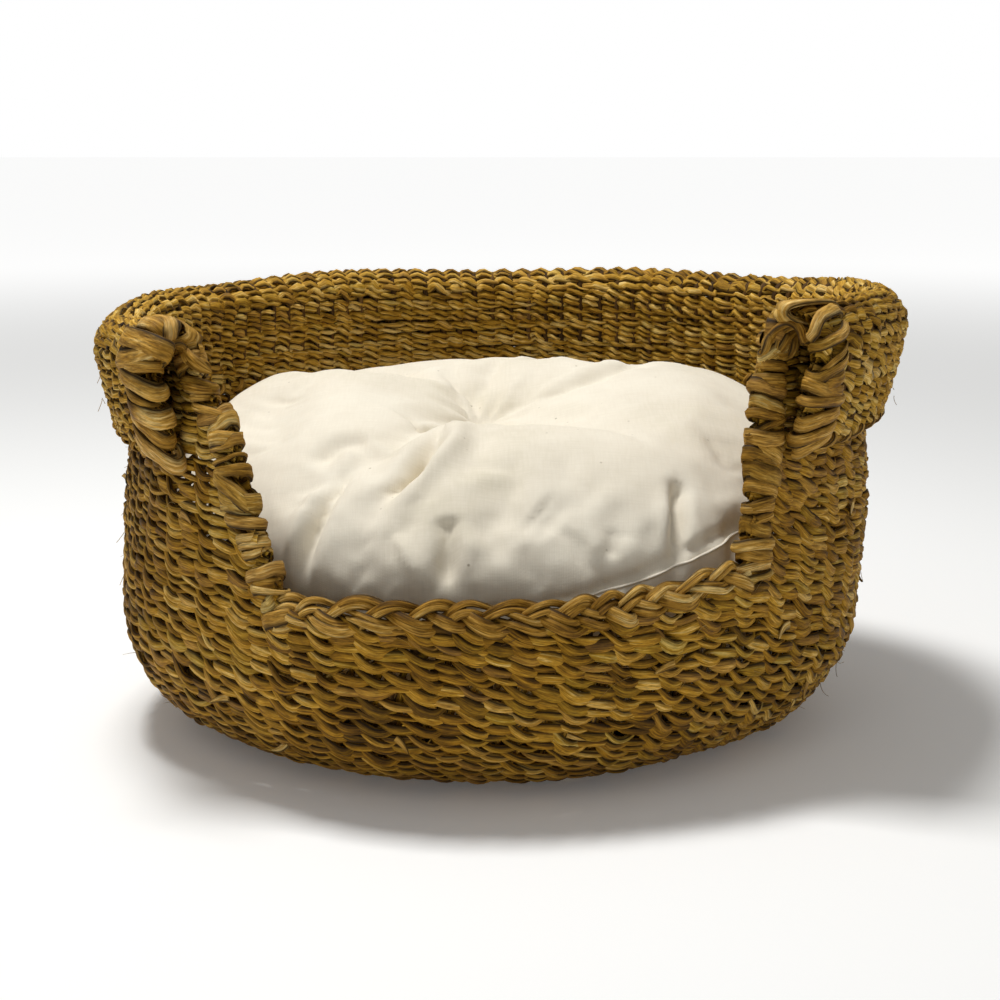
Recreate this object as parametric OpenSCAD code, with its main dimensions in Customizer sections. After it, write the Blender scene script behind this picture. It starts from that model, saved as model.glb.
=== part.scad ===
// Twined rush pet bed: an oval basket with a low front, a rolled collar round the back and sides,
// and a loose tufted cushion. Millimetres, +Z up, the opening faces -Y, the base rests on z = 0.
//
// The plan is an oval of four tangent arcs. Wall sections are drawn in [offset, z], where offset 0 is
// the oval through the widest part of the belly and positive offsets lie outside it.

/* [Basket] */
// Half the width of the belly, along X
belly_half_x = 230; // [200:1:260]
// Half the depth of the belly, along Y
belly_half_y = 200; // [180:1:225]
// How far the flat base lies inside the belly outline
base_inset = 74; // [60:1:85]
// Height at which the rounded bottom has become an upright wall
belly_z = 82; // [70:1:90]
// Height of the waist, where the collar is lashed to the wall
waist_z = 181; // [165:1:188]
// How far the waist lies inside the belly outline
waist_inset = 7; // [4:0.5:9]
// Height of the rolled collar's crest
top_z = 258; // [250:1:270]
// How far the collar swells outside the belly outline
collar_out = 13; // [12:0.5:16]

/* [Opening] */
// Height of the front rim's top edge
front_rim_z = 118; // [112:1:124]
// Half angle of the opening at the front rim, about the front arc's centre
opening_low = 29; // [26:0.5:34]
// Half angle of the opening at the top of the collar
opening_high = 40; // [33:0.5:44]

/* [Weave] */
// Half the wall's thickness at a row of twined rush
row_r = 4.9; // [4.5:0.1:5.2]
// Half the wall's thickness between two rows
valley_r = 3.3; // [2.8:0.1:4]
// Distance from one row to the next
row_pitch = 7.2; // [6.6:0.1:7.6]
// Number of stakes round the wall
stake_count = 104; // [80:4:112]
// Width of a stake
stake_w = 4.4; // [3:0.2:5]
// Thickness of a stake
stake_t = 2.6; // [2:0.2:3]
// Radius of the wrapping along the edges of the opening
binding_r = 7; // [6:0.5:7]
// Distance from one turn of the wrapping to the next
binding_pitch = 8; // [6:0.5:10]
// Radius of the cord that lashes the collar's lower edge to the waist
lash_r = 3; // [2:0.5:3.5]
// Radius of one strand of the front rim's plait
plait_r = 4.2; // [3.5:0.1:4.5]

/* [Cushion] */
// Gap between the cushion and the belly outline
cushion_inset = 26.5; // [26.5:0.5:40]
// Height of the seam that joins the two panels
seam_z = 118; // [100:1:125]
// Height of the cushion's crown
crown_z = 203; // [180:1:215]
// Thickness of the cover cloth
cloth_t = 1.2; // [0.8:0.1:2]
// Depth of the dimple that the tuft pulls in
tuft_depth = 33; // [20:1:40]
// Radius of the dimple
tuft_reach = 95; // [70:1:110]

/* [Hidden] */
$fn = 64;
gap = 0.2;
far = 600;

// Oval of four arcs that meet on the diagonals of a square of half diagonal arc_shift
arc_shift = (belly_half_x - belly_half_y) / (2 - sqrt(2));
side_r = belly_half_x - arc_shift;
front_r = belly_half_y + arc_shift;

// The wall's mid line, as [offset, z] at its corners
wall_off = -row_r;
waist_off = -row_r - waist_inset;
limb_off = waist_off - 5;
limb_z = top_z - row_r - 12;
crest_r = (collar_out - row_r - limb_off) / 2;
crest_off = limb_off + crest_r;
crest_z = top_z - row_r - crest_r;
flap_low = [waist_off + 2 * row_r + 0.6, waist_z + 6];
bottom_w = base_inset - row_r;
bottom_h = belly_z - row_r;
rim_z = front_rim_z - 2 * plait_r - 2;

// The collar swells at the back but not at the front, so the oval sits a little forward of the origin
plait_out = 0.8;
plan_y = (plait_out - collar_out) / 2;

// Mean half angle of the opening, and the lean of its edges
opening_mid = (opening_low + opening_high) / 2;
opening_z = (front_rim_z + top_z) / 2;
opening_run = (front_r + wall_off) * (opening_high - opening_low) * PI / 180;
edge_lean = atan(opening_run / (top_z - front_rim_z));

base_rows = 12;
bottom_rows = 16;
belly_rows = 4;
wall_rows = round((waist_z - rim_z) / row_pitch);
limb_rows = round((limb_z - waist_z) / row_pitch);
base_hole = base_inset + base_rows * row_pitch;

// Cushion section: quarter ellipses above and below the seam
cushion_off = -cushion_inset;
shoulder_w = 80;
under_w = 60;
under_z = 2 * row_r + 0.5;
tuft_r = (pow(tuft_reach, 2) + pow(tuft_depth, 2)) / (2 * tuft_depth);
tie_r = 0.8;
knot_r = 4;
curve_steps = 14;

rush = [0.60, 0.46, 0.20];
rush_dark = [0.50, 0.37, 0.15];
rush_pale = [0.70, 0.56, 0.28];
calico = [0.93, 0.90, 0.82];

// ---- plan ----

// A point at an angle from the front arc's -Y direction, for angles that stay on that arc
function front_point(angle, off, z) = [
    (front_r + off) * sin(angle), plan_y + arc_shift - (front_r + off) * cos(angle), z
];

// A point of the oval where its outward direction is at any angle from -Y
function arc_of(angle) =
    let (c = cos(angle), s = sin(angle))
    abs(s) <= abs(c) ? (c > 0 ? 0 : 2) : (s > 0 ? 1 : 3);
function arc_centre(arc) = [
    arc == 1 ? arc_shift : arc == 3 ? -arc_shift : 0,
    plan_y + (arc == 0 ? arc_shift : arc == 2 ? -arc_shift : 0)
];
function arc_radius(arc) = arc % 2 == 0 ? front_r : side_r;
function oval_point(angle, off, z) =
    let (arc = arc_of(angle), r = arc_radius(arc) + off)
    [arc_centre(arc).x + r * sin(angle), arc_centre(arc).y - r * cos(angle), z];

// Sweeps the section, drawn in [offset, z], round the oval
module oval_sweep() {
    for (arc = [0:3])
        translate([arc_centre(arc).x, arc_centre(arc).y, 0])
            rotate([0, 0, 90 * arc - 135])
                rotate_extrude(angle = 90)
                    intersection() {
                        translate([arc_radius(arc), 0]) children();
                        translate([0, -far / 2]) square([far, far]);
                    }
}

// ---- sections, in [offset, z] ----

function lerp(a, b, t) = a + (b - a) * t;
function bottom_curve(t) = [wall_off - bottom_w * (1 - sin(90 * t)), belly_z - bottom_h * cos(90 * t)];
function crest_curve(t) = [crest_off - crest_r * cos(150 * t), crest_z + crest_r * sin(150 * t)];

// The flap hangs from the end of the crest's roll and tucks in at the waist
flap_top = crest_curve(1);
flap_bulge = [collar_out - row_r, lerp(flap_low.y, flap_top.y, 0.72)];
function flap_curve(t) =
    t < 0.4 ? lerp(flap_top, flap_bulge, t / 0.4) : lerp(flap_bulge, flap_low, (t - 0.4) / 0.6);

// A wall along a list of row centres, [offset, z]: a ridge at each row and a valley on each side of it
module ribbed(rows) {
    last = len(rows) - 1;
    function step(i) = rows[min(i + 1, last)] - rows[max(i - 1, 0)];
    function side(v) = [v.y, -v.x] / norm(v);
    function ahead(i) = i < last ? (rows[i + 1] - rows[i]) / 2 : (rows[last] - rows[last - 1]) / 2;
    outer = [
        each [rows[0] - ahead(0) + side(ahead(0)) * valley_r],
        for (i = [0:last]) each [rows[i] + side(step(i)) * row_r, rows[i] + ahead(i) + side(ahead(i)) * valley_r]
    ];
    inner = [
        for (i = [last:-1:0]) each [rows[i] + ahead(i) - side(ahead(i)) * valley_r, rows[i] - side(step(i)) * row_r],
        each [rows[0] - ahead(0) - side(ahead(0)) * valley_r]
    ];
    polygon(concat(outer, inner));
}

module band(z_low, z_high) {
    intersection() {
        children();
        translate([-far / 2, z_low]) square([far, z_high - z_low]);
    }
}

// ---- opening ----

// Everything on the opening's side of its right edge
module right_of_opening() {
    translate([0, plan_y + arc_shift, opening_z])
        rotate([0, 0, opening_mid - 90])
            rotate([-edge_lean, 0, 0])
                translate([-far / 2, -far, -far]) cube([2 * far, far, 2 * far]);
}

module opening_wedge() {
    intersection() {
        right_of_opening();
        mirror([1, 0, 0]) right_of_opening();
        translate([-far / 2, -far, rim_z]) cube([far, far, far]);
    }
}

// Half angle of the opening's edge at a height
function edge_angle(z) = lerp(opening_low, opening_high, (z - front_rim_z) / (top_z - front_rim_z));

// ---- base ----

// Two crossed layers of sticks that the base is started on
module base_cross() {
    reach_x = side_r + arc_shift - base_hole + 16;
    reach_y = front_r - arc_shift - base_hole + 16;
    stick = 5.6;
    color(rush_dark)
        translate([0, plan_y, 0]) {
            for (i = [-2:2])
                translate([-reach_x, i * (stick + 0.6) - stick / 2, 0.6]) cube([2 * reach_x, stick, 4]);
            for (i = [-5:5])
                translate([i * (stick + 0.6) - stick / 2, -reach_y, 4.6]) cube([stick, 2 * reach_y, 4]);
        }
}

module base_weave() {
    color(rush)
        oval_sweep()
            difference() {
                union() {
                    ribbed([for (i = [0:base_rows]) [-base_inset - i * row_pitch, row_r]]);
                    translate([-base_hole, 0]) square([base_hole - base_inset, row_r]);
                }
                translate([-base_inset, -1]) square([far, far]);
            }
}

// ---- walls ----

module bottom_weave() {
    color(rush)
        oval_sweep()
            difference() {
                band(-1, belly_z - gap / 2)
                    ribbed([for (i = [-1:bottom_rows + 1]) bottom_curve(i / bottom_rows)]);
                translate([-far, -1]) square([far - base_inset + gap, far]);
            }
}

module belly_weave() {
    color(rush)
        oval_sweep()
            band(belly_z + gap / 2, rim_z - gap)
                ribbed([for (i = [-1:belly_rows + 1]) [wall_off, lerp(belly_z, rim_z - row_r, i / belly_rows)]]);
}

module side_weave() {
    color(rush)
        difference() {
            oval_sweep()
                band(rim_z, waist_z - gap / 2)
                    ribbed([for (i = [-1:wall_rows + 1])
                        lerp([wall_off, rim_z], [waist_off, waist_z], i / wall_rows)]);
            opening_wedge();
        }
}

module collar_inner_weave() {
    color(rush)
        difference() {
            oval_sweep()
                band(waist_z + gap / 2, crest_z - gap / 2)
                    ribbed([for (i = [-1:limb_rows + 1])
                        lerp([waist_off, waist_z], [limb_off, crest_z], i / limb_rows)]);
            opening_wedge();
        }
}

module collar_outer_weave() {
    crest_rows = 7;
    flap_rows = 8;
    color(rush_pale)
        difference() {
            oval_sweep()
                difference() {
                    ribbed([
                        for (i = [-1:crest_rows]) crest_curve(i / crest_rows),
                        for (i = [1:flap_rows]) flap_curve(i / flap_rows)
                    ]);
                    translate([-far, 0]) square([far + limb_off + row_r + 1, crest_z + gap / 2]);
                }
            opening_wedge();
        }
}

// The row that lashes the flap's lower edge to the waist
module collar_lashing() {
    color(rush_dark)
        difference() {
            oval_sweep() translate([waist_off + row_r + lash_r + 0.4, flap_low.y - row_r - lash_r - gap])
                circle(r = lash_r);
            opening_wedge();
        }
}

// ---- rims and bindings ----

// Three strands laid together along the top of the low front
module front_rim_plait() {
    module strands() {
        translate([wall_off - plait_r, rim_z + plait_r]) circle(r = plait_r);
        translate([wall_off + plait_r + plait_out, rim_z + plait_r]) circle(r = plait_r);
        translate([wall_off, rim_z + plait_r + 1.6]) circle(r = plait_r + 0.4);
    }
    reach = opening_low + 1;
    color(rush_pale)
        translate([0, plan_y + arc_shift, 0])
            rotate([0, 0, -90 - reach])
                rotate_extrude(angle = 2 * reach)
                    translate([front_r, 0]) strands();
}

// Mid line offset of the upright wall at a height
function wall_mid(z) = z < waist_z
    ? lerp(wall_off, waist_off, (z - rim_z) / (waist_z - rim_z))
    : lerp(waist_off, limb_off, (z - waist_z) / (crest_z - waist_z));

// Turns of wrapping round the upright edge, along a straight core
module right_edge_wrap() {
    low_z = rim_z + 2;
    high_z = crest_z + 3;
    low = front_point(edge_angle(low_z), wall_off, low_z);
    run = front_point(edge_angle(high_z), limb_off, high_z) - low;
    length = norm(run);
    turns = round(length / binding_pitch);
    bead_r = binding_r / 2 - 0.1;
    translate(low)
        rotate([0, acos(run.z / length), atan2(run.y, run.x)])
            rotate_extrude() {
                square([binding_r - bead_r, length]);
                for (i = [1:turns])
                    translate([binding_r - bead_r, (i - 0.5) * length / turns]) circle(r = bead_r);
            }
}

module right_edge_binding() {
    color(rush_pale) right_edge_wrap();
}

module left_edge_binding() {
    color(rush_pale) mirror([1, 0, 0]) right_edge_wrap();
}

// The lip that finishes the collar's end, from the crest round to the waist, one bead to a turn
module right_end_wrap() {
    turns = 10;
    end_turn = 37;
    over = 0.34;
    for (i = [1:turns]) {
        t = i / turns;
        p = t < over ? crest_curve(lerp(0.45, 1, t / over)) : flap_curve((t - over) / (1 - over));
        translate(front_point(edge_angle(p.y) + 0.7, p.x, p.y))
            rotate([90, 0, end_turn])
                sphere(r = binding_r - 0.7);
    }
}

module right_collar_end() {
    color(rush_pale) right_end_wrap();
}

module left_collar_end() {
    color(rush_pale) mirror([1, 0, 0]) right_end_wrap();
}

// ---- stakes, hidden inside the weave ----

// A flat stake that follows a list of [offset, z] points at one angle of the oval
module stake(angle, points) {
    along = [cos(angle), sin(angle)] * stake_w / 2;
    rings = len(points);
    corners = [
        for (i = [0:rings - 1])
            let (
                p = points[i],
                run = points[min(i + 1, rings - 1)] - points[max(i - 1, 0)],
                across = [run.y, -run.x] / norm(run) * stake_t / 2
            )
            for (c = [[-1, -1], [1, -1], [1, 1], [-1, 1]])
                let (q = oval_point(angle, p.x + c.y * across.x, p.y + c.y * across.y))
                q + [along.x * c.x, along.y * c.x, 0]
    ];
    sides = [
        for (i = [0:rings - 2], k = [0:3])
            [4 * i + k, 4 * i + (k + 1) % 4, 4 * i + 4 + (k + 1) % 4, 4 * i + 4 + k]
    ];
    last = 4 * rings - 4;
    polyhedron(points = corners, faces = concat([[3, 2, 1, 0]], sides, [[last, last + 1, last + 2, last + 3]]));
}

low_path = concat(
    [[-base_inset - 30, row_r], [-base_inset - 4, row_r]],
    [for (i = [1:3]) bottom_curve(i / 3)],
    [[wall_off, rim_z - 2]]
);
back_path = concat(
    low_path,
    [[waist_off, waist_z], [limb_off, crest_z], crest_curve(0.35), crest_curve(0.7), flap_bulge, flap_low]
);

// A stake beside the opening ends at the opening's leaning edge
function edge_height(angle) =
    lerp(front_rim_z, top_z, (abs(angle) - opening_low) / (opening_high - opening_low)) - binding_r;
function edge_path(angle) =
    let (z = edge_height(angle))
    z < rim_z + 4 ? low_path
        : z < waist_z + 8 ? concat(low_path, [[wall_mid(z), z]])
        : concat(low_path, [[waist_off, waist_z], [wall_mid(z), z]]);

// Angle of a stake from -Y, between -180 and 180
function stake_angle(i) = 360 * (i + 0.5) / stake_count - 180;
function in_opening(angle) = abs(angle) < opening_high + 2;

module front_stakes() {
    color(rush_dark)
        for (i = [0:stake_count - 1]) {
            angle = stake_angle(i);
            if (in_opening(angle)) stake(angle, edge_path(angle));
        }
}

module back_stakes() {
    color(rush_dark)
        for (i = [0:stake_count - 1])
            if (!in_opening(stake_angle(i))) stake(stake_angle(i), back_path);
}

// ---- cushion ----

// The cushion's section between two heights, shrunk by an inset, filled to the oval's middle
module cushion_section(inset) {
    top = [for (i = [0:curve_steps]) let (a = 90 * i / curve_steps)
        [cushion_off - inset - (shoulder_w - inset) * (1 - cos(a)), seam_z + (crown_z - seam_z - inset) * sin(a)]];
    under = [for (i = [0:curve_steps]) let (a = 90 - 90 * i / curve_steps)
        [cushion_off - inset - (under_w - inset) * (1 - cos(a)), seam_z - (seam_z - under_z - inset) * sin(a)]];
    polygon(concat(
        [[-far / 2, under_z + inset]], under,
        [for (i = [1:curve_steps]) top[i]], [[-far / 2, crown_z - inset]]
    ));
}

module cushion_solid(inset) {
    difference() {
        oval_sweep() cushion_section(inset);
        translate([0, plan_y, crown_z - tuft_depth + tuft_r]) sphere(r = tuft_r + inset);
        translate([0, plan_y, 0]) cylinder(r = tie_r + 0.3 + inset, h = far);
    }
}

module between(z_low, z_high) {
    intersection() {
        children();
        translate([-far / 2, -far / 2, z_low]) cube([far, far, z_high - z_low]);
    }
}

module cushion_top_panel() {
    color(calico)
        difference() {
            between(seam_z + 0.8, far) cushion_solid(0);
            cushion_solid(cloth_t);
        }
}

module cushion_bottom_panel() {
    color(calico)
        difference() {
            between(0, seam_z - 0.8) cushion_solid(0);
            cushion_solid(cloth_t);
        }
}

// The sewn edge between the panels, a little proud of them
module cushion_seam() {
    color(calico)
        oval_sweep()
            translate([cushion_off - cloth_t, seam_z - 0.7]) square([cloth_t + 0.5, 1.4]);
}

module cushion_filling() {
    color("white") cushion_solid(cloth_t + 0.3);
}

// Thread through the cushion, knotted on both faces
module cushion_tuft_tie() {
    top = crown_z - tuft_depth;
    color(calico)
        translate([0, plan_y, 0]) {
            translate([0, 0, under_z - 0.2]) cylinder(r = tie_r, h = top + 2 - under_z);
            translate([0, 0, top + 1.2]) cylinder(r = knot_r, h = 1);
        }
}

base_cross();
base_weave();
bottom_weave();
belly_weave();
front_rim_plait();
side_weave();
collar_inner_weave();
collar_outer_weave();
collar_lashing();
left_edge_binding();
right_edge_binding();
left_collar_end();
right_collar_end();
front_stakes();
back_stakes();
cushion_top_panel();
cushion_bottom_panel();
cushion_seam();
cushion_filling();
cushion_tuft_tie();
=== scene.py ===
import math
import bpy
import numpy as np
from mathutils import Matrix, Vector
from mathutils.bvhtree import BVHTree


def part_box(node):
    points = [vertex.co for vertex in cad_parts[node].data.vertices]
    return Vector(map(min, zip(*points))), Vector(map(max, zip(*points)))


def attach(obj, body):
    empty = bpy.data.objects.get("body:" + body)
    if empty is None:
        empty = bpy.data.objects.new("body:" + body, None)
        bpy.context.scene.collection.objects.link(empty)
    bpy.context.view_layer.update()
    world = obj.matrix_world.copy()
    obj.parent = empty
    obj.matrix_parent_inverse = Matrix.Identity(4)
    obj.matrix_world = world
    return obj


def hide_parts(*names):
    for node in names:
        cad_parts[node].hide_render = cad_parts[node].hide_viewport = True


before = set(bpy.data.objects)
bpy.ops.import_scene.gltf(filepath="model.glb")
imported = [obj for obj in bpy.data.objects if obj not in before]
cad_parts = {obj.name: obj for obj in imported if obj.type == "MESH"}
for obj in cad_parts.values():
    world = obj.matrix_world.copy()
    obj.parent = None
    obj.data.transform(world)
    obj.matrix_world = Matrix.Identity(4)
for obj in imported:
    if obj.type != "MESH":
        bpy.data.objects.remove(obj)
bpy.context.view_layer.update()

print("frame loaded")

# measures taken from the frame
bellyLow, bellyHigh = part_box("belly_weave")
baseLow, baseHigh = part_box("base_weave")
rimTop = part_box("front_rim_plait")[1][2]
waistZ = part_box("side_weave")[1][2]
collarLow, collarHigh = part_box("collar_outer_weave")
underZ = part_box("cushion_bottom_panel")[0][2]

plan = {
    "halfX": (bellyHigh[0] - bellyLow[0]) / 2,
    "halfY": (bellyHigh[1] - bellyLow[1]) / 2,
    "centreY": (bellyHigh[1] + bellyLow[1]) / 2,
    "rowHalf": 0.0049,      # half the wall's thickness
    "waistIn": 0.007,       # how far the wall leans in up to the waist
    "limbIn": 0.005,        # and from there up to the collar's crest
    "stakes": 104,          # stalks round the wall
    "stakeJitter": 0.16,    # share of the spacing that a stalk may stray
    # the opening's edge: degrees from the front at each height in millimetres
    "left": ((108, 25.6), (135, 28.6), (160, 31.4), (176, 32.9),
             (191, 33.9), (201, 34.8), (218, 38.4), (243, 42.8)),
    "right": ((108, 31.4), (129, 32.0), (150, 32.6), (176, 33.6), (213, 34.6), (238, 36.6), (259, 39.4)),
    "flapLeft": 43.0,       # and where the collar's turned-down part ends
    "flapRight": 39.0,
    "rightTuck": 0.007,     # how far the belly draws in on the right
    "leftTuck": 0.003,      # and the collar on the left
    "skew": 0.0062,         # how far the handmade oval is pulled out of square
    "rightRise": 0.010,     # how far the rim climbs at its right end
    "leftDrop": 0.004,
    "collarTilt": 0.010,    # how far the collar's right end stands above its left end, halved
}

arcShift = (plan["halfX"] - plan["halfY"]) / (2 - math.sqrt(2))
sideRadius = plan["halfX"] - arcShift
frontRadius = plan["halfY"] + arcShift
bellyTop = bellyHigh[2]
bellyStart = bellyLow[2]
crestTop = collarHigh[2]
wallOff = -plan["rowHalf"]
waistOff = wallOff - plan["waistIn"]
limbOff = waistOff - plan["limbIn"]
collarOut = (collarHigh[0] - collarLow[0]) / 2 - plan["halfX"]
baseInset = plan["halfX"] - (baseHigh[0] - baseLow[0]) / 2
crestRadius = (collarOut - plan["rowHalf"] - limbOff) / 2
crestOff = limbOff + crestRadius
crestZ = crestTop - plan["rowHalf"] - crestRadius


def smooth(value, low, high):
    share = np.clip((np.asarray(value, float) - low) / (high - low), 0, 1)
    return share * share * (3 - 2 * share)


def unit(rows):
    return rows / (np.linalg.norm(rows, axis=-1, keepdims=True) + 1e-12)


# a point of the oval where its outward direction is angle from the front, moved outward by off
def planPoint(angle, off):
    cosA, sinA = np.cos(angle), np.sin(angle)
    onFront = np.abs(sinA) <= np.abs(cosA)
    radius = np.where(onFront, frontRadius, sideRadius) + off
    centreX = np.where(onFront, 0, np.sign(sinA) * arcShift)
    centreY = np.where(onFront, np.sign(cosA) * arcShift, 0) + plan["centreY"]
    return centreX + radius * sinA, centreY - radius * cosA


angleTable = np.linspace(-math.pi, math.pi, 2881)
tableX, tableY = planPoint(angleTable, 0.0)
lengthTable = np.concatenate([[0], np.cumsum(np.hypot(np.diff(tableX), np.diff(tableY)))])
roundLength = lengthTable[-1]

stakeRandom = np.random.default_rng(7)
stakeStray = stakeRandom.uniform(-1, 1, plan["stakes"] + 1) * plan["stakeJitter"]
stakeStray[-1] = stakeStray[0]
stakePlace = (np.arange(plan["stakes"] + 1) + stakeStray) / plan["stakes"] * roundLength


def angleOfStake(count):
    wrapped = np.mod(count, plan["stakes"])
    place = np.interp(wrapped, np.arange(plan["stakes"] + 1), stakePlace)
    return np.interp(np.mod(place, roundLength), lengthTable, angleTable)


def stakeOfAngle(angle):
    place = np.interp(angle, angleTable, lengthTable)
    return np.interp(place, stakePlace, np.arange(plan["stakes"] + 1))


# where the wall ends beside the opening; part is wall, crest or flap
def openingAngle(z, side, off=0.0, part="wall"):
    heights, degrees = np.array(plan[side], float).T
    degrees = np.interp(np.asarray(z) * 1000, heights, degrees)
    outer = plan["flap" + side.capitalize()]
    share = {"wall": 0, "crest": smooth(off, limbOff, crestOff + crestRadius), "flap": 1}[part]
    return np.radians(degrees + (outer - degrees) * share) * (1 if side == "right" else -1)


# slow unevenness that a basket made by hand has, in metres: outward, and upward
def handmade(angle, z):
    level = smooth(z, bellyTop, crestTop)
    bulge = -plan["skew"] * np.sin(2 * angle - 0.28)
    bulge = bulge + 0.0016 * np.sin(5 * angle + 1.3 + 14 * z) + 0.0012 * np.sin(9 * angle - 22 * z)
    front = np.cos(angle / 2) ** 2
    rightward = smooth(np.sin(angle), 0.3, 1)
    bulge = bulge - plan["rightTuck"] * rightward * (1 - smooth(z, 0.08, 0.16)) * smooth(z, 0, 0.04)
    bulge = bulge - plan["leftTuck"] * smooth(-np.sin(angle), 0.3, 1) * smooth(z, 0.17, 0.22)
    lift = level * front * plan["collarTilt"] * np.sin(angle)
    atRim = smooth(z, 0.05, rimTop) * (1 - smooth(z, 0.14, 0.22))
    lift = lift + atRim * plan["rightRise"] * np.exp(-((angle - 0.52) / 0.2) ** 2)
    lift = lift - atRim * plan["leftDrop"] * np.exp(-((angle + 0.46) / 0.2) ** 2)
    lift = lift + 0.0012 * np.sin(7 * angle + 30 * z) * smooth(z, 0.01, 0.04)
    return bulge, lift


def wallPoint(angle, off, z):
    bulge, lift = handmade(angle, z)
    x, y = planPoint(angle, off + bulge)
    return np.stack([x, y, z + lift], -1)


# the wall's section as [offset, height], piece by piece from the floor to the collar's lower edge
def bottomCurve(t):
    across = baseInset - plan["rowHalf"]
    return np.stack([
        wallOff - across * (1 - np.sin(t * math.pi / 2)),
        bellyStart - (bellyStart - plan["rowHalf"]) * np.cos(t * math.pi / 2),
    ], -1)


def line(start, end):
    def along(t):
        share = np.asarray(t, float)[..., None]
        return np.array(start) + (np.array(end) - np.array(start)) * share
    return along


def crestCurve(t):
    turn = np.radians(165) * np.asarray(t, float)
    return np.stack([crestOff - crestRadius * np.cos(turn), crestZ + crestRadius * np.sin(turn)], -1)


flapStart = crestCurve(1.0)
flapEnd = np.array([waistOff + 2 * plan["rowHalf"] + 0.0002, waistZ + 0.004])
flapRise = flapStart[1] - flapEnd[1]
flapBulge = np.array([collarOut - plan["rowHalf"] + 0.0005, flapEnd[1] + flapRise * 0.7])


def flapCurve(t):
    pull = flapBulge * 2 - (flapStart + flapEnd) / 2
    share = np.asarray(t, float)[..., None]
    return (1 - share) ** 2 * flapStart + 2 * share * (1 - share) * pull + share ** 2 * flapEnd


bellyLine = line((wallOff, bellyStart), (wallOff, bellyTop))
sideLine = line((wallOff, bellyTop), (waistOff, waistZ))
limbLine = line((waistOff, waistZ), (limbOff, crestZ))


# places of the rows along a curve, evenly spaced, with each row's outward direction
def rowPlaces(curve, rows):
    fine = curve(np.linspace(0, 1, 400))
    run = np.concatenate([[0], np.cumsum(np.hypot(*np.diff(fine, axis=0).T))])
    at = (np.arange(rows) + 0.5) / rows * run[-1]
    share = np.interp(at, run, np.linspace(0, 1, 400))
    ahead = curve(np.clip(share + 0.01, 0, 1)) - curve(np.clip(share - 0.01, 0, 1))
    return curve(share), unit(ahead)


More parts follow.
